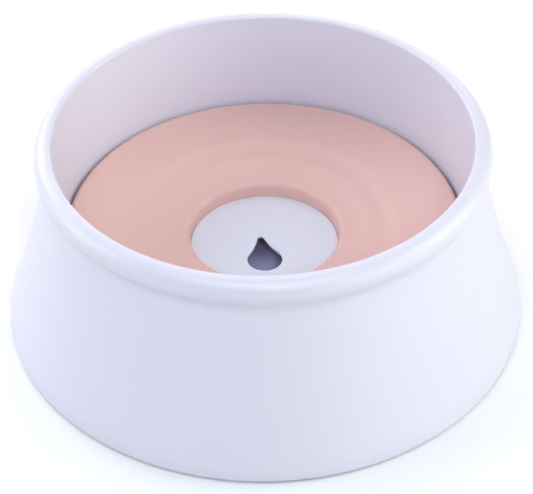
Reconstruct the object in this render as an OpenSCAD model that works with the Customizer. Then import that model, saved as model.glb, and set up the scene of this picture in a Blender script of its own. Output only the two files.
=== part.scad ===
// Splash-proof water bowl for a pet: a flared double-walled bowl on four pads,
// and a hollow float that rides up and down in it and lets water up through one drop-shaped outlet.
// Millimetres, +Z up. The origin is on the table, on the bowl's axis. -Y faces the viewer.

/* [Bowl] */
// Diameter across the foot of the skirt
base_d = 230; // [218:1:260]
// Height from the table to the top of the rim
bowl_h = 93.4; // [86:0.1:110]
// Widest diameter of the rounded rim
rim_d = 195.6; // [194:0.2:204]
// Diameter of the neck under the rim
neck_d = 189.8; // [188.6:0.2:193]
// Diameter of the mouth at the rim's inner edge
mouth_d = 180; // [172:0.5:181]
// Drop from the top of the rim to its widest line
rim_drop = 9.8; // [8:0.2:12]
// Drop from the top of the rim to the neck
neck_drop = 18.8; // [17:0.2:24]
// How far the flared skirt hollows in from a straight line
flare_sag = 1.7; // [0:0.1:3]
// Height of the upright toe at the foot of the skirt
toe_h = 10; // [6:0.5:14]
// Rounding of the rim's inner edge
lip_round = 1.4; // [0.6:0.1:2]
// Rounding of the skirt's bottom edge
foot_round = 1.8; // [0.5:0.1:2]
// Thickness of the bowl's walls
wall_t = 2.6; // [2.2:0.1:3.2]
// Lean of the inside wall, in degrees
wall_draft = 2.4; // [1:0.1:3.4]
// Thickness of the bowl's floor
floor_t = 2.6; // [2:0.1:4]
// Clear height under the bowl's floor
floor_lift = 10.4; // [8:0.2:14]
// Rounding between the floor and the inside wall
floor_round = 5; // [3:0.5:8]
// Drop from the neck to the top of the hollow between the walls
hollow_drop = 11; // [8:0.5:24]

/* [Ribs under the bowl] */
// Number of radial ribs between the two walls for each pad
ribs_per_pad = 2; // [1:1:4]
// Thickness of a rib
rib_t = 1.8; // [1.2:0.1:3]
// Height of the ribs' lower edge above the pads' sockets
rib_rise = 0.4; // [0.2:0.1:1.2]

/* [Pads] */
// Number of anti-slip pads
pad_n = 4; // [3:1:6]
// Diameter of a pad
pad_d = 12; // [8:0.5:13]
// How far a pad stands out below the skirt
pad_stand = 1.2; // [0.8:0.1:2.5]
// Depth of the socket that holds a pad
pad_socket = 2.4; // [1.5:0.1:3.5]
// Wall round a pad's socket
boss_wall = 1.8; // [1.2:0.1:2.4]
// Thickness of the roof over a socket
boss_roof = 2; // [1.2:0.1:4]

/* [Float] */
// Gap between the float's side and the bowl's wall
float_gap = 1.2; // [0.8:0.1:2.5]
// Height of the float from its rest nubs to the edge of its deck
float_h = 34.4; // [32:0.2:38]
// Gap kept between the nubs and the bowl's floor
rest_gap = 0.2; // [0.1:0.1:0.5]
// Rounding of the deck's outer edge
deck_round = 2.6; // [1.5:0.1:3.5]
// Thickness of the deck
deck_t = 2; // [1.6:0.1:2.4]
// Fall of the deck's outer band
band_fall = 1.6; // [0.5:0.1:3]
// Fall of the soft step inside the outer band
step_fall = 2.4; // [0.5:0.1:4]
// Width of the soft step
step_w = 11; // [6:0.5:14]
// Fall of the dish from the foot of the step to its lip
dish_fall = 2.7; // [1:0.1:4]
// Width of the dish from the foot of the step to the lip's crest
dish_w = 15; // [10:0.5:18]
// Distance from the centre plate's edge to the crest of the lip round it
lip_reach = 3.2; // [3:0.1:6]
// Height of the deck's side
deck_side = 14; // [12:0.5:15]

/* [Float pan] */
// Thickness of the pan
pan_t = 1.8; // [1.4:0.1:2.2]
// Rounding of the pan's lower edge
pan_round = 6; // [4:0.5:8]
// Clearance between the pan and the deck where they plug together
joint_fit = 0.15; // [0.1:0.05:0.3]
// Open seam between the pan and the deck on the float's side
seam_gap = 0.3; // [0.1:0.1:0.6]
// Thickness of the two sealing rings
seal_t = 2; // [1.4:0.1:2.4]
// Height of the ledge that carries the inner sealing ring, above the pan's floor
ledge_h = 5.4; // [3:0.2:6]
// Number of rest nubs under the pan
nub_n = 6; // [3:1:12]
// Diameter of a rest nub
nub_d = 6; // [4:0.5:8]
// Height of a rest nub
nub_h = 1.6; // [1:0.1:2.4]
// Number of water inlets in the floor of the well
inlet_n = 8; // [4:1:12]
// Diameter of a water inlet
inlet_d = 4.6; // [3:0.2:6]

/* [Centre plate] */
// Diameter of the centre plate
plate_d = 65.6; // [60:0.2:67]
// Thickness of the centre plate
plate_t = 2; // [1.6:0.1:2.6]
// Drop from the lip's crest to the plate's face
plate_drop = 7.4; // [6:0.2:9]
// Clearance round the plate and its spigot
plate_fit = 0.2; // [0.1:0.05:0.4]
// Depth of the spigot under the plate
spigot_h = 4; // [3:0.5:6]
// Wall of the spigot
spigot_t = 1.6; // [1.2:0.1:2.2]
// Width of the slots that let the spigot spring
slot_w = 6; // [3:0.5:10]
// Width of the drop-shaped outlet
drop_w = 15.4; // [10:0.2:18]
// Length of the drop-shaped outlet
drop_len = 23.4; // [20:0.2:28]
// Rounding of the drop's tip
drop_tip = 1.5; // [0.8:0.1:2]
// Radius of the drop's hollow flanks
drop_flank = 28; // [10:1:40]
// Distance from the plate's centre to the centre of the drop's round end
drop_offset = 11.5; // [6:0.1:14]
// Turn of the drop about its round end, in degrees
drop_turn = 6.8; // [-10:0.2:10]

/* [Hidden] */
$fn = 160;
pad_fn = 48;

// Colours
shell_white = "#E9E7F3";
deck_pink = "#E3B9B7";
pad_grey = "#C9C8D2";
seal_clear = "#D9D7DE";

// Steps along the curves
head_steps = 14;
neck_steps = 10;
flare_steps = 20;
toe_steps = 6;
edge_steps = 6;
corner_steps = 8;
dish_steps = 10;

// Bowl
base_r = base_d / 2;
mouth_r = mouth_d / 2;
crest_r = mouth_r + lip_round;
rim_r = rim_d / 2;
rim_z = bowl_h - rim_drop;
neck_r = neck_d / 2;
neck_z = bowl_h - neck_drop;
skirt_z0 = pad_stand;
toe_z = skirt_z0 + toe_h;
floor_z = floor_lift + floor_t;
hollow_z = neck_z - hollow_drop;
outer_corner = floor_round + wall_t;
overlap = wall_t / 2;

// The skirt flares from the neck to the toe, and the toe turns it upright
flare_h = neck_z - toe_z;
toe_mid = (toe_z + skirt_z0 + foot_round) / 2;
toe_part = (toe_z - toe_mid) / flare_h;
toe_r = (base_r + toe_part * (neck_r - 4 * flare_sag)) / (1 + toe_part);
neck_slope = (toe_r - neck_r - 4 * flare_sag) / flare_h;
neck_pull = (rim_z - neck_z) * 0.4;

// Pads
pad_r = pad_d / 2;
boss_r = pad_r + joint_fit + boss_wall;
boss_top = skirt_z0 + pad_socket + boss_roof;
pad_circle_r = toe_r - overlap - boss_r;
pad_round = 0.6;
pad_step = 360 / pad_n;
pad_turn = pad_step / 2;
rib_n = ribs_per_pad * pad_n;
rib_z = skirt_z0 + pad_socket + rib_rise;

// Float
nub_z = floor_z + rest_gap;
pan_z = nub_z + nub_h;
deck_z = nub_z + float_h;
side_z = deck_z - deck_side;
deck_flat_r = float_side(deck_z - deck_round) - deck_round;
plate_r = plate_d / 2;
lip_r = plate_r + lip_reach;
dish_r = lip_r + dish_w;
break_r = dish_r + step_w;
break_z = deck_z - band_fall;
dish_z = break_z - step_fall;
lip_z = dish_z - dish_fall;
plate_z = lip_z - plate_drop;
throat_r = plate_r + plate_fit;
lip_roll = lip_r - throat_r;
tube_r = throat_r - plate_fit;
tube_in_r = tube_r - pan_t;
tube_top = plate_z - plate_t;
ledge_z = pan_z + pan_t + ledge_h;
throat_foot = ledge_z + seal_t;
ledge_r = throat_r + deck_t + 0.6;
rebate_r = float_side(side_z) - deck_t - joint_fit;
rebate_top = deck_top(rebate_r - pan_t) - deck_t - seal_t;
pan_side_step = 0.4;
inlet_circle_r = tube_in_r - inlet_d / 2 - 3;
nub_circle_r = rebate_r - pan_round - nub_d;

function arc(c, r, a0, a1, n) = [for (i = [0:n]) let (a = a0 + (a1 - a0) * i / n) c + r * [cos(a), sin(a)]];
function oval(c, rx, ry, a0, a1, n) =
    [for (i = [0:n]) let (a = a0 + (a1 - a0) * i / n) c + [rx * cos(a), ry * sin(a)]];
function bezier3(p, q, s, n) =
    [for (i = [0:n]) let (t = i / n) p * (1 - t) * (1 - t) + 2 * q * t * (1 - t) + s * t * t];
function bezier4(p, q, s, u, n) =
    [for (i = [0:n]) let (t = i / n, v = 1 - t)
        p * v * v * v + 3 * q * v * v * t + 3 * s * v * t * t + u * t * t * t];

// Radius of the skirt's outside at height z, between the toe and the neck
function skirt_r(z) = let (t = (neck_z - z) / flare_h)
    neck_r + (toe_r - neck_r) * t - 4 * flare_sag * t * (1 - t);
// Radius of the bowl's inside wall at height z, and of its back
function inside_r(z) = mouth_r - (bowl_h - lip_round - z) * tan(wall_draft);
function back_r(z) = inside_r(z) + wall_t / cos(wall_draft);
// Radius of the float's side at height z
function float_side(z) = inside_r(z) - float_gap;
// Share of a soft step's height that is climbed at a share t of its width
function ease(t) = (1 - cos(180 * t)) / 2;
// Height of the deck's top face at radius r
function deck_top(r) =
    r > break_r ? break_z + band_fall * (r - break_r) / (deck_flat_r - break_r) :
    r > dish_r ? dish_z + step_fall * ease((r - dish_r) / step_w) :
    lip_z + dish_fall * ease((r - lip_r) / dish_w);

// The skirt's outside, from the bottom edge up to the crest of the rim
function outside_line() = concat(
    arc([base_r - foot_round, skirt_z0 + foot_round], foot_round, -90, 0, edge_steps),
    bezier3([base_r, skirt_z0 + foot_round], [base_r, toe_mid], [toe_r, toe_z], toe_steps),
    [for (i = [1:flare_steps - 1]) let (z = toe_z + flare_h * i / flare_steps) [skirt_r(z), z]],
    bezier4([neck_r, neck_z], [neck_r - neck_slope * neck_pull, neck_z + neck_pull],
            [rim_r, rim_z - neck_pull], [rim_r, rim_z], neck_steps),
    oval([crest_r, rim_z], rim_r - crest_r, rim_drop, 90 / head_steps, 90, head_steps - 1));

// Centre of the rounding between a flat floor at height z and a wall with the draft's lean
function corner_centre(z, r, wall_r) = [wall_r - r / cos(wall_draft), z + r];

function bowl_section() =
    let (in_c = corner_centre(floor_z, floor_round, inside_r(floor_z + floor_round)),
         out_c = corner_centre(floor_lift, outer_corner, back_r(floor_lift + outer_corner)))
    concat(
        outside_line(),
        arc([crest_r, bowl_h - lip_round], lip_round, 90 + 90 / edge_steps, 180 - wall_draft, edge_steps - 1),
        arc(in_c, floor_round, -wall_draft, -90, corner_steps),
        [[0, floor_z], [0, floor_lift]],
        arc(out_c, outer_corner, -90, -wall_draft, corner_steps),
        [[back_r(hollow_z), hollow_z]],
        [for (i = [0:flare_steps]) let (z = hollow_z + (toe_z - hollow_z) * i / flare_steps)
            [skirt_r(z) - wall_t, z]],
        [[toe_r - wall_t, skirt_z0]]);

// One upright web between the back of the inside wall and the skirt
module rib() {
    c = corner_centre(floor_lift, outer_corner, back_r(floor_lift + outer_corner));
    foot_r = skirt_r(toe_z) - overlap;
    rotate([90, 0, 0])
        linear_extrude(height = rib_t, center = true)
            polygon(concat(
                [[c.x + (floor_lift - rib_z), rib_z]],
                arc(c, outer_corner - overlap, -90, -wall_draft, corner_steps),
                [[back_r(hollow_z) - overlap, hollow_z + overlap],
                 [skirt_r(hollow_z) - overlap, hollow_z + overlap]],
                [for (i = [0:flare_steps]) let (z = hollow_z + (toe_z - hollow_z) * i / flare_steps)
                    [skirt_r(z) - overlap, z]],
                [[foot_r, rib_z]]));
}

// Places one copy of its child at each pad
module at_pad(i) {
    rotate([0, 0, pad_turn + (i - 1) * pad_step])
        translate([pad_circle_r, 0, 0])
            children();
}

module bowl() {
    color(shell_white)
        difference() {
            union() {
                rotate_extrude() polygon(bowl_section());
                for (i = [0:rib_n - 1])
                    rotate([0, 0, pad_turn + i * 360 / rib_n]) rib();
                for (i = [1:pad_n])
                    at_pad(i)
                        translate([0, 0, skirt_z0])
                            cylinder(r = boss_r, h = boss_top - skirt_z0, $fn = pad_fn);
            }
            for (i = [1:pad_n])
                at_pad(i)
                    translate([0, 0, -1])
                        cylinder(r = pad_r + joint_fit, h = skirt_z0 + pad_socket + 1, $fn = pad_fn);
        }
}

module pad(i) {
    color(pad_grey)
        at_pad(i)
            rotate_extrude($fn = pad_fn)
                polygon(concat(
                    [[0, 0]],
                    arc([pad_r - pad_round, pad_round], pad_round, -90, 0, edge_steps),
                    [[pad_r, skirt_z0 + pad_socket], [0, skirt_z0 + pad_socket]]));
}

module float_deck() {
    shoulder_z = deck_z - deck_round;
    edge_c = [float_side(shoulder_z) - deck_round, shoulder_z];
    inner_round = max(deck_round - deck_t, 0.4);
    roll_c = [lip_r, lip_z - lip_roll];
    band = [for (i = [1:4]) deck_flat_r + (break_r - deck_flat_r) * i / 4];
    step = [for (i = [1:dish_steps]) break_r - step_w * i / dish_steps];
    dish = [for (i = [1:dish_steps - 1]) dish_r - dish_w * i / dish_steps];
    radii = concat(band, step, dish);
    count = len(radii);
    color(deck_pink)
        rotate_extrude()
            polygon(concat(
                [[float_side(side_z), side_z]],
                arc(edge_c, deck_round, 0, 90, corner_steps),
                [for (r = radii) [r, deck_top(r)]],
                arc(roll_c, lip_roll, 90, 180, corner_steps),
                [[throat_r, throat_foot], [throat_r + deck_t, throat_foot]],
                arc(roll_c, lip_roll - deck_t, 180, 90, edge_steps),
                [for (i = [1:count]) let (r = radii[count - i]) [r, deck_top(r) - deck_t]],
                arc(edge_c + [deck_round - deck_t - inner_round, deck_round - deck_t - inner_round],
                    inner_round, 90, 0, edge_steps),
                [[float_side(side_z) - deck_t, side_z]]));
}

module float_pan() {
    wall_foot = float_side(pan_z + pan_round) - pan_side_step;
    corner = [wall_foot - pan_round, pan_z + pan_round];
    lap_z = side_z - seam_gap;
    color(shell_white)
        difference() {
            union() {
                rotate_extrude()
                    polygon(concat(
                        [[0, pan_z]],
                        arc(corner, pan_round, -90, 0, corner_steps),
                        [[float_side(lap_z) - pan_side_step, lap_z], [rebate_r, lap_z],
                         [rebate_r, rebate_top], [rebate_r - pan_t, rebate_top],
                         [rebate_r - pan_t, lap_z - pan_t]],
                        arc(corner, pan_round - pan_t, 0, -90, corner_steps),
                        [[ledge_r, pan_z + pan_t], [ledge_r, ledge_z], [tube_r, ledge_z],
                         [tube_r, tube_top], [tube_in_r, tube_top],
                         [tube_in_r, pan_z + pan_t], [0, pan_z + pan_t]]));
                for (i = [0:nub_n - 1])
                    rotate([0, 0, i * 360 / nub_n])
                        translate([nub_circle_r, 0, nub_z])
                            cylinder(d = nub_d, h = nub_h + pan_t / 2, $fn = pad_fn);
            }
            for (i = [0:inlet_n - 1])
                rotate([0, 0, (i + 0.5) * 360 / inlet_n])
                    translate([inlet_circle_r, 0, pan_z - 1])
                        cylinder(d = inlet_d, h = pan_t + 2, $fn = pad_fn);
        }
}

// A flat sealing ring between two radii, on a seat at height z
module seal_ring(r_in, r_out, z) {
    color(seal_clear)
        rotate_extrude()
            translate([r_in, z]) square([r_out - r_in, seal_t]);
}

module outer_seal() {
    seal_ring(rebate_r - pan_t, rebate_r, rebate_top);
}

module inner_seal() {
    seal_ring(tube_r + plate_fit, tube_r + deck_t, ledge_z);
}

// Outline of the outlet: a round end, a small round tip and a hollow flank on each side
module drop_outline() {
    big = drop_w / 2;
    reach = drop_len - big - drop_tip;
    a = big + drop_flank;
    b = drop_tip + drop_flank;
    fy = (a * a - b * b + reach * reach) / (2 * reach);
    fx = sqrt(a * a - fy * fy);
    big_touch = [fx, fy] * (big / a);
    tip_touch = [fx * drop_tip / b, reach + (fy - reach) * drop_tip / b];
    difference() {
        union() {
            circle(r = big, $fn = pad_fn);
            translate([0, reach]) circle(r = drop_tip, $fn = pad_fn);
            polygon([[0, 0], big_touch, tip_touch, [0, reach],
                     [-tip_touch.x, tip_touch.y], [-big_touch.x, big_touch.y]]);
        }
        for (side = [-1, 1])
            translate([side * fx, fy]) circle(r = drop_flank, $fn = 4 * pad_fn);
    }
}

module centre_plate() {
    spigot_r = tube_in_r - plate_fit;
    edge = 0.5;
    color(shell_white)
        difference() {
            rotate_extrude()
                polygon(concat(
                    [[0, tube_top], [spigot_r - spigot_t, tube_top],
                     [spigot_r - spigot_t, tube_top - spigot_h], [spigot_r, tube_top - spigot_h],
                     [spigot_r, tube_top], [plate_r, tube_top]],
                    arc([plate_r - edge, plate_z - edge], edge, 0, 90, edge_steps),
                    [[0, plate_z]]));
            translate([0, -drop_offset, tube_top - 1])
                rotate([0, 0, drop_turn])
                    linear_extrude(height = plate_t + 2) drop_outline();
            for (i = [0:1])
                rotate([0, 0, 90 * i])
                    translate([-plate_d / 2, -slot_w / 2, tube_top - spigot_h - 1])
                        cube([plate_d, slot_w, spigot_h + 1]);
        }
}

bowl();
for (i = [1:pad_n])
    pad(i);
float_deck();
float_pan();
outer_seal();
inner_seal();
centre_plate();
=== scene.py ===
import math
import bpy
from mathutils import Matrix, Vector


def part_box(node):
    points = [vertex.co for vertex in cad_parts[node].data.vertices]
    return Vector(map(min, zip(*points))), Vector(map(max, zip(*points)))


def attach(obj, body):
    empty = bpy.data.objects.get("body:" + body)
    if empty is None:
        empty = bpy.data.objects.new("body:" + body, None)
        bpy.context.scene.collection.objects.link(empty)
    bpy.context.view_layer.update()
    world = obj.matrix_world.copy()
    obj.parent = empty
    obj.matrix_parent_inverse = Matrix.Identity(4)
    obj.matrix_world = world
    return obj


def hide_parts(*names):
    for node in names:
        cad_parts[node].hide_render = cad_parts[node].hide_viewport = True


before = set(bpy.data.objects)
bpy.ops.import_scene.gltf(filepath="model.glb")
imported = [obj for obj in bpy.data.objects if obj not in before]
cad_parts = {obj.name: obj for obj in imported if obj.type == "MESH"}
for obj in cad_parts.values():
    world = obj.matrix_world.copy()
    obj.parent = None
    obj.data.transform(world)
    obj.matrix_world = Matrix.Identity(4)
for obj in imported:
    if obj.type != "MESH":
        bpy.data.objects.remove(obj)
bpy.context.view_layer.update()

lens = 131.4
camera_place = Vector((0, -0.6607, 0.5921))
camera_aim = Vector((0.0008, 0, 0.0308))
camera_roll = math.radians(-0.93)

bpy.ops.object.select_all(action="DESELECT")
bpy.ops.object.camera_add(location=camera_place)
camera = bpy.context.active_object
camera.name = "camera"
look = (camera_aim - camera_place).to_track_quat("-Z", "Y").to_matrix()
camera.rotation_euler = (look @ Matrix.Rotation(camera_roll, 3, "Z")).to_euler()
camera.data.lens = lens
camera.data.sensor_width = 36
camera.data.clip_end = 20
bpy.context.scene.camera = camera

# Bowl
# One gloss ABS injection moulding: a cup with a leaning wall, a rounded rim, a soft neck and a
# flared skirt, open underneath, with webs between the two walls and sockets for the pads.
bowl_low, bowl_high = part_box("bowl")
base_r = bowl_high[0]
bowl_top = bowl_high[2]
skirt_foot = bowl_low[2]
rim_r = 0.0978
rim_drop = 0.0058
neck_r = 0.0950
neck_drop = 0.0168
mouth_r = 0.090
lip_round = 0.0014
flare_sag = 0.00146
toe_height = 0.010
foot_round = 0.0018
wall = 0.0026
wall_lean = math.radians(2.4)
floor_under = 0.0104
floor_top = 0.0130
floor_round = 0.005
hollow_z = 0.0636
web_count = 8
web_thick = 0.0018
web_foot = 0.0040
under_edge = 0.0006
crease_angle = math.radians(35)
turns = 200


def arc(centre, radius, start, end, steps):
    """Points on a round stretch of an outline, as (radius, height) pairs. Angles are in degrees."""
    points = []
    for i in range(steps + 1):
        angle = math.radians(start + (end - start) * i / steps)
        points.append((centre[0] + radius * math.cos(angle), centre[1] + radius * math.sin(angle)))
    return points


def bezier(controls, steps):
    """Points on the smooth curve that three or four control points pull into shape."""
    points = []
    for i in range(steps + 1):
        level = [Vector(c) for c in controls]
        while len(level) > 1:
            level = [a.lerp(b, i / steps) for a, b in zip(level, level[1:])]
        points.append(tuple(level[0]))
    return points


def between(start, end, steps):
    """Even steps from one value to another, without the first."""
    return [start + (end - start) * i / steps for i in range(1, steps + 1)]


def eased(points, size):
    """The same outline with each corner of over 30 degrees taken off by a small curve, as a mould
    leaves it. No curve takes half of the outline's stretch beside it."""
    result = [points[0]]
    for before, corner, after in zip(points, points[1:], points[2:]):
        into = Vector(corner) - Vector(before)
        out = Vector(after) - Vector(corner)
        if into.angle(out) < math.radians(30):
            result.append(corner)
            continue
        cut = min(size, into.length * 0.45, out.length * 0.45)
        start = Vector(corner) - into.normalized() * cut
        end = Vector(corner) + out.normalized() * cut
        result += bezier([start, corner, end], 3)
    return result + [points[-1]]


def start_at(name, place):
    """A new piece that is one vertex at a place, left in edit mode with that vertex selected."""
    bpy.ops.object.select_all(action="DESELECT")
    bpy.ops.mesh.primitive_plane_add(size=0.001, location=place)
    piece = bpy.context.active_object
    piece.name = piece.data.name = name
    bpy.ops.object.mode_set(mode="EDIT")
    bpy.ops.mesh.select_all(action="SELECT")
    bpy.ops.mesh.merge(type="CENTER")
    return piece


def draw(points):
    """Extrudes the selected vertex from point to point."""
    for a, b in zip(points, points[1:]):
        step = Vector(b) - Vector(a)
        bpy.ops.mesh.extrude_region_move(TRANSFORM_OT_translate={"value": step})


def revolve(name, outline, steps=turns, at=(0, 0)):
    """A turned form: the outline, in (radius, height) pairs, spun once round an upright axis."""
    points = [(at[0] + r, at[1], z) for r, z in outline]
    piece = start_at(name, points[0])
    draw(points)
    bpy.ops.mesh.select_all(action="SELECT")
    bpy.ops.mesh.spin(steps=steps, angle=2 * math.pi, center=(at[0], at[1], 0), axis=(0, 0, 1))
    bpy.ops.mesh.select_all(action="SELECT")
    bpy.ops.mesh.remove_doubles(threshold=1e-6)
    bpy.ops.mesh.normals_make_consistent(inside=False)
    bpy.ops.object.mode_set(mode="OBJECT")
    return piece


def prism(name, outline, push):
    """A plate: the closed outline, in (x, y, z) points, filled and pushed out along a vector."""
    piece = start_at(name, outline[0])
    draw(outline)
    bpy.ops.mesh.select_all(action="SELECT")
    bpy.ops.mesh.edge_face_add()
    bpy.ops.mesh.extrude_region_move(TRANSFORM_OT_translate={"value": push})
    bpy.ops.mesh.select_all(action="SELECT")
    bpy.ops.mesh.normals_make_consistent(inside=False)
    bpy.ops.object.mode_set(mode="OBJECT")
    return piece


def rod(name, radius, low, high, at=(0, 0), sides=48):
    """An upright round rod between two heights."""
    bpy.ops.object.select_all(action="DESELECT")
    place = (at[0], at[1], (low + high) / 2)
    bpy.ops.mesh.primitive_cylinder_add(vertices=sides, radius=radius, depth=high - low, location=place)
    piece = bpy.context.active_object
    piece.name = piece.data.name = name
    return piece


def ring_of(piece, count):
    """Repeats the piece's mesh round the bowl's axis, at even steps."""
    bpy.ops.object.select_all(action="DESELECT")
    piece.select_set(True)
    bpy.context.view_layer.objects.active = piece
    bpy.ops.object.transform_apply(location=True, rotation=True, scale=True)
    bpy.ops.object.mode_set(mode="EDIT")
    bpy.ops.mesh.select_all(action="SELECT")
    sweep = 2 * math.pi * (count - 1) / count
    bpy.ops.mesh.spin(steps=count - 1, dupli=True, angle=sweep, center=(0, 0, 0), axis=(0, 0, 1))
    bpy.ops.mesh.select_all(action="SELECT")
    bpy.ops.mesh.normals_make_consistent(inside=False)
    bpy.ops.object.mode_set(mode="OBJECT")


def combine(piece, tool, operation):
    """Joins a tool piece to a piece, or cuts it out, and removes the tool."""
    boolean = piece.modifiers.new("tool", "BOOLEAN")
    boolean.operation = operation
    boolean.solver = "EXACT"
    boolean.object = tool
    bpy.context.view_layer.objects.active = piece
    bpy.ops.object.modifier_apply(modifier=boolean.name)
    bpy.data.objects.remove(tool)


def smooth(piece):
    """Smooth shading up to an angle, where the broad faces rule over the fine ones beside them."""
    bpy.ops.object.select_all(action="DESELECT")
    piece.select_set(True)
    bpy.context.view_layer.objects.active = piece
    bpy.ops.object.transform_apply(location=True, rotation=True, scale=True)
    bpy.ops.object.shade_smooth_by_angle(angle=crease_angle)
    weighted = piece.modifiers.new("weighted", "WEIGHTED_NORMAL")
    weighted.keep_sharp = True
    bpy.ops.object.modifier_apply(modifier=weighted.name)


rim_z = bowl_top - rim_drop
neck_z = bowl_top - neck_drop
toe_z = skirt_foot + toe_height
flare_height = neck_z - toe_z
toe_mid = (toe_z + skirt_foot + foot_round) / 2
toe_part = (toe_z - toe_mid) / flare_height
toe_r = (base_r + toe_part * (neck_r - 4 * flare_sag)) / (1 + toe_part)
neck_slope = (toe_r - neck_r - 4 * flare_sag) / flare_height
neck_pull = (rim_z - neck_z) / 2
crest_r = mouth_r + lip_round


def skirt_r(z):
    """Radius of the skirt's outside at a height between the toe and the neck."""
    t = (neck_z - z) / flare_height
    return neck_r + (toe_r - neck_r) * t - 4 * flare_sag * t * (1 - t)


def inside_r(z):
    """Radius of the leaning inside wall at a height."""
    return mouth_r - (bowl_top - lip_round - z) * math.tan(wall_lean)


def back_r(z):
    """Radius of the inside wall's hidden back at a height."""
    return inside_r(z) + wall / math.cos(wall_lean)


lean = math.degrees(wall_lean)
corner_r = floor_round + wall
floor_corner = (inside_r(floor_top + floor_round) - floor_round / math.cos(wall_lean),
                floor_top + floor_round)
under_corner = (back_r(floor_under + corner_r) - corner_r / math.cos(wall_lean),
                floor_under + corner_r)

under_side = [(0, floor_under)] + arc(under_corner, corner_r, -90, -lean, 10)
under_side += [(back_r(hollow_z), hollow_z), (skirt_r(hollow_z) - wall, hollow_z)]
under_side += [(skirt_r(z) - wall, z) for z in between(hollow_z, toe_z, 24)]
under_side += [(toe_r - wall, skirt_foot)]
outer_side = arc((base_r - foot_round, skirt_foot + foot_round), foot_round, -90, 0, 8)
outer_side += bezier([(base_r, skirt_foot + foot_round), (base_r, toe_mid), (toe_r, toe_z)], 12)[1:]
outer_side += [(skirt_r(z), z) for z in between(toe_z, neck_z, 30)]
outer_side += bezier([(neck_r, neck_z), (neck_r - neck_slope * neck_pull, neck_z + neck_pull),
                      (rim_r, rim_z - neck_pull), (rim_r, rim_z)], 14)[1:]
outer_side += [(crest_r + (rim_r - crest_r) * math.cos(a), rim_z + rim_drop * math.sin(a))
               for a in between(0, math.pi / 2, 20)]
inner_side = arc((crest_r, bowl_top - lip_round), lip_round, 90, 180 - lean, 10)[1:]
inner_side += arc(floor_corner, floor_round, -lean, -90, 10) + [(0, floor_top)]
bowl = revolve("bowl_shell", eased(under_side, under_edge) + outer_side + inner_side)

# Each web is an upright plate that reaches half a wall deep into both walls
half_wall = wall / 2
web_outline = [(under_corner[0] + floor_under - web_foot, web_foot)]
web_outline += arc(under_corner, corner_r - half_wall, -90, -lean, 8)
web_outline += [(back_r(hollow_z) - half_wall, hollow_z + half_wall),
                (skirt_r(hollow_z) - half_wall, hollow_z + half_wall)]
web_outline += [(skirt_r(z) - half_wall, z) for z in between(hollow_z, toe_z, 16)]
web_outline += [(toe_r - half_wall, web_foot)]
web = prism("web", [(r, -web_thick / 2, z) for r, z in web_outline], (0, web_thick, 0))
ring_of(web, web_count)
combine(bowl, web, "UNION")

# Four bosses with sockets take the pads
pad_count = 4
pad_low, pad_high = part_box("pad_1")
pad_r = (pad_high[0] - pad_low[0]) / 2
pad_centre = ((pad_low[0] + pad_high[0]) / 2, (pad_low[1] + pad_high[1]) / 2)
socket_top = pad_high[2]
socket_gap = 0.00015
boss_wall = 0.0018
boss_roof = 0.0020
boss = rod("boss", pad_r + socket_gap + boss_wall, skirt_foot, socket_top + boss_roof, pad_centre)
ring_of(boss, pad_count)
combine(bowl, boss, "UNION")
socket = rod("socket", pad_r + socket_gap, -pad_r, socket_top, pad_centre)
ring_of(socket, pad_count)
combine(bowl, socket, "DIFFERENCE")
smooth(bowl)


def colour(hex_value):
    """An sRGB hex colour as the linear values that a shader takes."""
    parts = [int(hex_value[i:i + 2], 16) / 255 for i in (1, 3, 5)]
    return [p / 12.92 if p <= 0.04045 else ((p + 0.055) / 1.055) ** 2.4 for p in parts] + [1]


def add(material, kind, links, **settings):
    """Adds a node with its settings, and links its inputs to other nodes' outputs."""
    node = material.node_tree.nodes.new(kind)
    for name, value in settings.items():
        if name in node.bl_rna.properties:
            setattr(node, name, value)
        else:
            node.inputs[name.replace("_", " ")].default_value = value
    for socket_name, source in links.items():
        material.node_tree.links.new(source, node.inputs[socket_name])
    return node


def new_material(name):
    """An empty material, and the place on the object that its patterns are laid out on."""
    material = bpy.data.materials.new(name)
    material.use_nodes = True
    material.node_tree.nodes.clear()
    return material, add(material, "ShaderNodeTexCoord", {}).outputs["Object"]


def moulded(name, light, dark, gloss, grain, grain_depth, ior=1.53):
    """A moulded skin: a slow drift between two close colours, in patches about 70 mm wide, and the
    grain of the mould, drawn several times as coarse as it is so that it shows."""
    material, place = new_material(name)
    drift = add(material, "ShaderNodeTexNoise", {"Vector": place}, Scale=14.0, Detail=2.0)
    tint = add(material, "ShaderNodeMix", {"Factor": drift.outputs[0]}, data_type="RGBA")
    tint.inputs[6].default_value = colour(light)
    tint.inputs[7].default_value = colour(dark)
    skin = add(material, "ShaderNodeTexNoise", {"Vector": place}, Scale=1 / grain, Detail=3.0)
    bump = add(material, "ShaderNodeBump", {"Height": skin.outputs[0]}, Distance=grain_depth, Strength=0.6)
    polish = add(material, "ShaderNodeMapRange", {"Value": drift.outputs[0]},
                 To_Min=gloss - 0.03, To_Max=gloss + 0.03)
    shader = add(material, "ShaderNodeBsdfPrincipled",
                 {"Base Color": tint.outputs[2], "Roughness": polish.outputs[0], "Normal": bump.outputs[0]},
                 IOR=ior)
    add(material, "ShaderNodeOutputMaterial", {"Surface": shader.outputs[0]})
    return material


# White ABS from a polished mould: wide soft highlights on a skin as smooth as an eggshell's
white_abs = moulded("polished white ABS", "#E0DFEE", "#DEDDEC", 0.32, 0.0012, 0.000006)
bowl.data.materials.append(white_abs)
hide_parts("bowl")
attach(bowl, "bowl")

# Pads
# Soft grey TPE buttons pressed into the sockets under the skirt. Two shallow rings moulded in
# the lower face give each its grip, and its edge is rounded.
pad_round = 0.0006
groove_deep = 0.0003
groove_wide = 0.0006
groove_radii = (0.0018, 0.0036)

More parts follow.
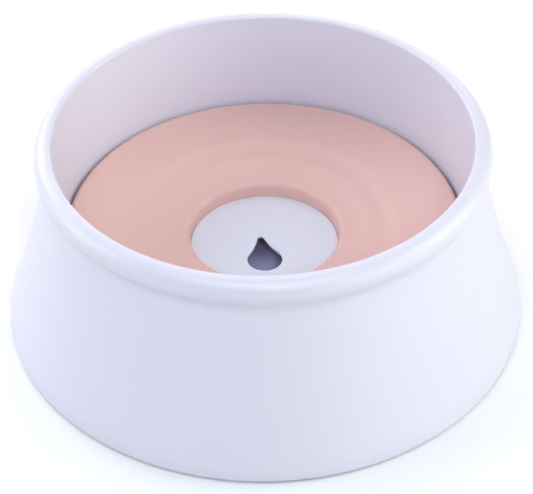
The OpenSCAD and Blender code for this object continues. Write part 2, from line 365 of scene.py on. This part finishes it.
pad_outline = [(0, 0)]
for groove_r in groove_radii:
    pad_outline += [(groove_r - groove_wide / 2, 0), (groove_r - groove_wide / 4, groove_deep),
                    (groove_r + groove_wide / 4, groove_deep), (groove_r + groove_wide / 2, 0)]
pad_outline += arc((pad_r - pad_round, pad_round), pad_round, -90, 0, 6)
pad_outline += [(pad_r, socket_top), (0, socket_top)]

# Grey TPE, a rubbery plastic: dull, with a soft powdery skin
grey_tpe = moulded("moulded grey TPE", "#C9C8D2", "#C3C2CC", 0.62, 0.0006, 0.00002, ior=1.49)
for number in range(1, pad_count + 1):
    low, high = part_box(f"pad_{number}")
    pad = revolve(f"grip_pad_{number}", pad_outline, 40, ((low[0] + high[0]) / 2, (low[1] + high[1]) / 2))
    smooth(pad)
    pad.data.materials.append(grey_tpe)
    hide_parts(f"pad_{number}")
    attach(pad, "bowl")

# Float deck
# The upper shell of the float, one moulding in pale pink ABS with a satin skin: a nearly flat
# band, a soft step, a dish with a lip that rolls down into the throat, and a side that leans
# with the bowl's wall.
deck_low, deck_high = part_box("float_deck")
deck_z = deck_high[2]
throat_foot = deck_low[2]
float_gap = 0.0012
deck_side = 0.014
deck_round = 0.0026
deck_wall = 0.0020
band_fall = 0.0016
step_fall = 0.0024
step_wide = 0.011
dish_fall = 0.0027
dish_wide = 0.015
lip_reach = 0.0032
plate_r = 0.0328
plate_fit = 0.0002
moulding_edge = 0.0004


def float_side(z):
    """Radius of the float's side at a height."""
    return inside_r(z) - float_gap


shoulder_z = deck_z - deck_round
side_foot = deck_z - deck_side
band_r = float_side(shoulder_z) - deck_round
lip_r = plate_r + lip_reach
dish_r = lip_r + dish_wide
step_r = dish_r + step_wide
dish_z = deck_z - band_fall - step_fall
lip_z = dish_z - dish_fall
throat_r = plate_r + plate_fit
lip_roll = lip_r - throat_r
roll_centre = (lip_r, lip_z - lip_roll)
shoulder_centre = (band_r, shoulder_z)
inner_round = deck_round - deck_wall


def climb(r, foot, width):
    """Share of a soft step's height that is climbed at a radius."""
    return (1 - math.cos(math.pi * (r - foot) / width)) / 2


def deck_top(r):
    """Height of the deck's upper face at a radius."""
    if r > step_r:
        return deck_z - band_fall * (band_r - r) / (band_r - step_r)
    if r > dish_r:
        return dish_z + step_fall * climb(r, dish_r, step_wide)
    return lip_z + dish_fall * climb(r, lip_r, dish_wide)


deck_radii = between(band_r, step_r, 8) + between(step_r, dish_r, 16) + between(dish_r, lip_r, 20)[:-1]
side_middle = (side_foot + shoulder_z) / 2
deck_outline = [(float_side(side_middle), side_middle)]
deck_outline += arc(shoulder_centre, deck_round, 0, 90, 12)
deck_outline += [(r, deck_top(r)) for r in deck_radii]
deck_outline += arc(roll_centre, lip_roll, 90, 180, 16)
deck_outline += [(throat_r, throat_foot), (throat_r + deck_wall, throat_foot)]
deck_outline += arc(roll_centre, lip_roll - deck_wall, 180, 90, 8)
deck_outline += [(r, deck_top(r) - deck_wall) for r in reversed(deck_radii)]
deck_outline += arc(shoulder_centre, inner_round, 90, 0, 4)
deck_outline += [(float_side(side_foot) - deck_wall, side_foot), (float_side(side_foot), side_foot),
                 (float_side(side_middle), side_middle)]
deck = revolve("deck_shell", eased(deck_outline, moulding_edge))
smooth(deck)

# Pink ABS from a finely blasted mould: the grain breaks each highlight into a broad satin sheen
pink_abs = moulded("satin pink ABS", "#E6BCB4", "#E3B8B0", 0.42, 0.0009, 0.00001)
deck.data.materials.append(pink_abs)
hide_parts("float_deck")
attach(deck, "float")

# Float pan
# The lower shell of the float, white ABS: a tub that plugs up into the deck's side, a tube under
# the centre plate, a ledge for the inner seal, water inlets in the well's floor, and rest nubs.
nub_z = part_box("float_pan")[0][2]
seal_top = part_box("outer_seal")[1][2]
plate_thick = 0.0020
tube_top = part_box("centre_plate")[1][2] - plate_thick
pan_wall = 0.0018
pan_round = 0.006
joint_fit = 0.00015
seam_gap = 0.0003
seal_thick = 0.0020
side_step = 0.0004
ledge_high = 0.0054
ledge_out = 0.0006
nub_count = 6
nub_r = 0.0030
nub_high = 0.0016
nub_edge = 0.0008
inlet_count = 8
inlet_r = 0.0023
inlet_inset = 0.003

pan_z = nub_z + nub_high
pan_floor = pan_z + pan_wall
lap_z = side_foot - seam_gap
rebate_r = float_side(side_foot) - deck_wall - joint_fit
rebate_top = seal_top - seal_thick
ledge_z = pan_floor + ledge_high
ledge_r = throat_r + deck_wall + ledge_out
tube_r = throat_r - plate_fit
tube_in = tube_r - pan_wall
pan_corner = (float_side(pan_z + pan_round) - side_step - pan_round, pan_z + pan_round)
pan_outline = [(0, pan_z)] + arc(pan_corner, pan_round, -90, 0, 12)
pan_outline += [(float_side(lap_z) - side_step, lap_z), (rebate_r, lap_z), (rebate_r, rebate_top),
                (rebate_r - pan_wall, rebate_top), (rebate_r - pan_wall, lap_z - pan_wall)]
pan_outline += arc(pan_corner, pan_round - pan_wall, 0, -90, 10)
pan_outline += [(ledge_r, pan_floor), (ledge_r, ledge_z), (tube_r, ledge_z), (tube_r, tube_top),
                (tube_in, tube_top), (tube_in, pan_floor), (0, pan_floor)]
pan = revolve("pan_shell", eased(pan_outline, moulding_edge))

nub_centre = (rebate_r - pan_round - 2 * nub_r, 0)
nub_outline = [(0, nub_z)] + arc((nub_r - nub_edge, nub_z + nub_edge), nub_edge, -90, 0, 6)
nub_outline += [(nub_r, pan_z + pan_wall / 2), (0, pan_z + pan_wall / 2)]
nub = revolve("nub", nub_outline, 40, nub_centre)
ring_of(nub, nub_count)
combine(pan, nub, "UNION")

inlet_reach = tube_in - inlet_r - inlet_inset
inlet_turn = math.pi / inlet_count
inlet_place = (inlet_reach * math.cos(inlet_turn), inlet_reach * math.sin(inlet_turn))
inlet = rod("inlet", inlet_r, nub_z, pan_floor + nub_high, inlet_place)
ring_of(inlet, inlet_count)
combine(pan, inlet, "DIFFERENCE")
smooth(pan)

# The pan's ABS is from a plainer mould, a little duller and less even
# Its lilac tint and near-full blue are painted light and shade: they give the shaded well under the outlet
# its bluish tone
plain_abs = moulded("plain moulded white ABS", "#E2DBFF", "#DED7FC", 0.34, 0.0012, 0.00001)
pan.data.materials.append(plain_abs)
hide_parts("float_pan")
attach(pan, "float")

# Sealing rings
# Two flat rings of soft clear-white silicone, squeezed between the deck and the pan. They keep
# the water out of the float's air, and are drawn as the solids have them.
clear_silicone = moulded("clear white silicone", "#DEDCE4", "#D8D6DF", 0.45, 0.0008, 0.00001, ior=1.41)
for ring_name in ("outer_seal", "inner_seal"):
    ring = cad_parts[ring_name]
    ring.data.materials.clear()
    ring.data.materials.append(clear_silicone)

# Centre plate
# A white ABS disc that lies just below the lip and snaps into the pan's tube with a slotted
# spigot. Its one drop-shaped hole lets the water up, and all its edges are rounded.
plate_low, plate_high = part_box("centre_plate")
plate_z = plate_high[2]
plate_edge = 0.0003
spigot_wall = 0.0016
slot_wide = 0.006
drop_wide = 0.0154
drop_long = 0.0234
drop_tip = 0.0015
drop_flank = 0.028
drop_place = 0.0115
drop_turn = math.radians(6.8)
outlet_edge = 0.0008
outlet_spread = 1.25


def drop_points():
    """The outlet's outline: a round end, a small round tip, and a hollow flank on each side."""
    round_r = drop_wide / 2
    reach = drop_long - round_r - drop_tip
    far = round_r + drop_flank
    near = drop_tip + drop_flank
    up = (far ** 2 - near ** 2 + reach ** 2) / (2 * reach)
    across = math.sqrt(far ** 2 - up ** 2)
    low_angle = math.degrees(math.atan2(up, across))
    high_angle = math.degrees(math.atan2(reach - up, -across)) % 360
    points = arc((0, 0), round_r, 180 - low_angle, 360 + low_angle, 56)
    points += arc((across, up), drop_flank, 180 + low_angle, high_angle, 24)[1:]
    points += arc((0, reach), drop_tip, high_angle - 180, 360 - high_angle, 12)[1:]
    points += arc((-across, up), drop_flank, 180 - high_angle, -low_angle, 24)[1:]
    turn = Matrix.Rotation(drop_turn, 2)
    return [turn @ Vector(p) - Vector((0, drop_place)) for p in points[:-1]]


spigot_r = tube_in - plate_fit
plate = rod("plate", plate_r, tube_top, plate_z, sides=turns)
spigot = revolve("spigot", [(spigot_r, plate_low[2]), (spigot_r, tube_top + plate_thick / 4),
                            (spigot_r - spigot_wall, tube_top + plate_thick / 4),
                            (spigot_r - spigot_wall, plate_low[2]), (spigot_r, plate_low[2])])
combine(plate, spigot, "UNION")
slot_depth = tube_top - plate_low[2]
for slot_size in ((3 * plate_r, slot_wide, 2 * slot_depth), (slot_wide, 3 * plate_r, 2 * slot_depth)):
    bpy.ops.object.select_all(action="DESELECT")
    bpy.ops.mesh.primitive_cube_add(size=1, location=(0, 0, plate_low[2]), scale=slot_size)
    combine(plate, bpy.context.active_object, "DIFFERENCE")
drop = prism("drop", [(p.x, p.y, tube_top - plate_thick) for p in drop_points()], (0, 0, 3 * plate_thick))
combine(plate, drop, "DIFFERENCE")

# From below the outlet is wider, which leaves it a thin edge at the top
funnel = prism("funnel", [(p.x, p.y, plate_z - outlet_edge) for p in drop_points()], (0, 0, -plate_thick))
for face in funnel.data.polygons:
    face.select = face.normal.z < -0.9
bpy.ops.object.mode_set(mode="EDIT")
bpy.ops.transform.resize(value=(outlet_spread, outlet_spread, 1),
                         center_override=(0, drop_wide / 2 - drop_place, 0))
bpy.ops.object.mode_set(mode="OBJECT")
combine(plate, funnel, "DIFFERENCE")
bevel = plate.modifiers.new("edges", "BEVEL")
bevel.width = plate_edge
bevel.segments = 4
bevel.limit_method = "ANGLE"
bevel.angle_limit = math.radians(50)
bpy.context.view_layer.objects.active = plate
bpy.ops.object.modifier_apply(modifier=bevel.name)
plate.name = plate.data.name = "plate_disc"
smooth(plate)

# White ABS with a satin skin, a touch duller than the bowl's: a broad sheen and no clear reflection
plate_abs = moulded("satin white ABS", "#E1E2EC", "#DFDFEA", 0.34, 0.0012, 0.000008)
plate.data.materials.append(plate_abs)
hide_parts("centre_plate")
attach(plate, "float")

# Floor and light
# A plain pale floor that runs on behind the bowl, a pale even sky, and broad soft lamps all round
# it. One small lamp beside the camera shines through the outlet into the well. To the camera
# alone the sky is white, and the floor whitens with distance, so the bowl keeps its shadow.
shadow_reach = 0.13
near_glow = 0.06
sky_strength = 0.13

bpy.ops.object.select_all(action="DESELECT")
bpy.ops.mesh.primitive_plane_add(size=12, location=(0, 0, 0))
ground = bpy.context.active_object
ground.name = "floor"
paper, spot = new_material("white paper")
matt = add(paper, "ShaderNodeBsdfDiffuse", {}, Color=colour("#F1F1F3"))
away = add(paper, "ShaderNodeVectorMath", {"Vector": spot}, operation="LENGTH")
fade = add(paper, "ShaderNodeMapRange", {"Value": away.outputs["Value"]},
           From_Min=shadow_reach, From_Max=3 * shadow_reach, To_Min=near_glow, To_Max=1.0)
seen = add(paper, "ShaderNodeLightPath", {})
shown = add(paper, "ShaderNodeMath", {0: fade.outputs[0], 1: seen.outputs["Is Camera Ray"]},
            operation="MULTIPLY")
glow = add(paper, "ShaderNodeEmission", {"Strength": shown.outputs[0]})
sheet_light = add(paper, "ShaderNodeAddShader", {})
paper.node_tree.links.new(matt.outputs[0], sheet_light.inputs[0])
paper.node_tree.links.new(glow.outputs[0], sheet_light.inputs[1])
add(paper, "ShaderNodeOutputMaterial", {"Surface": sheet_light.outputs[0]})
ground.data.materials.append(paper)

world = bpy.data.worlds.new("pale sky")
bpy.context.scene.world = world
world.use_nodes = True
sky = world.node_tree.nodes["Background"]
sky.inputs["Color"].default_value = colour("#FFFAF6")
looked_at = add(world, "ShaderNodeLightPath", {})
level = add(world, "ShaderNodeMapRange", {"Value": looked_at.outputs["Is Camera Ray"]},
            To_Min=sky_strength, To_Max=1.0)
world.node_tree.links.new(level.outputs[0], sky.inputs["Strength"])


def lamp(name, place, aim, width, height, power, tint="#FFFFFF"):
    """A soft box: an area lamp at a place, turned towards a point."""
    bpy.ops.object.select_all(action="DESELECT")
    bpy.ops.object.light_add(type="AREA", location=place)
    light = bpy.context.active_object
    light.name = name
    light.data.shape = "RECTANGLE"
    light.data.size = width
    light.data.size_y = height
    light.data.energy = power
    light.data.color = colour(tint)[:3]
    light.rotation_euler = (Vector(aim) - Vector(place)).to_track_quat("-Z", "Y").to_euler()


lamp("front_box", (0, -0.6, 1.1), (0, 0, 0.05), 1.0, 0.6, 6.9, "#E6F5FF")
lamp("top_back_box", (0, 0.6, 1.1), (0, 0, 0.05), 1.0, 0.6, 2.67, "#FFF5FF")
lamp("right_box", (1.1, 0, 0.55), (0, 0, 0.05), 0.7, 0.9, 6.75, "#F9FFF3")
lamp("front_right_box", (0.9, -0.8, 0.4), (0, 0, 0.06), 0.6, 0.5, 3.13, "#FFF5E9")
lamp("left_box", (-1.1, 0, 0.5), (0, 0, 0.05), 0.7, 0.9, 5.7, "#F9FFFC")
lamp("left_back_box", (-0.8, 0.8, 0.6), (0, 0, 0.05), 0.7, 0.7, 5.8, "#F9F5FF")
lamp("back_box", (0, 1.3, 0.4), (0, 0, 0.06), 1.4, 0.4, 4.27, "#FFF5FF")
lamp("camera_lamp", (0.128, -0.91, 0.801), (0, 0, 0.03), 0.07, 0.07, 1.15, "#F2F2FF")

bpy.context.scene.view_settings.view_transform = "Standard"
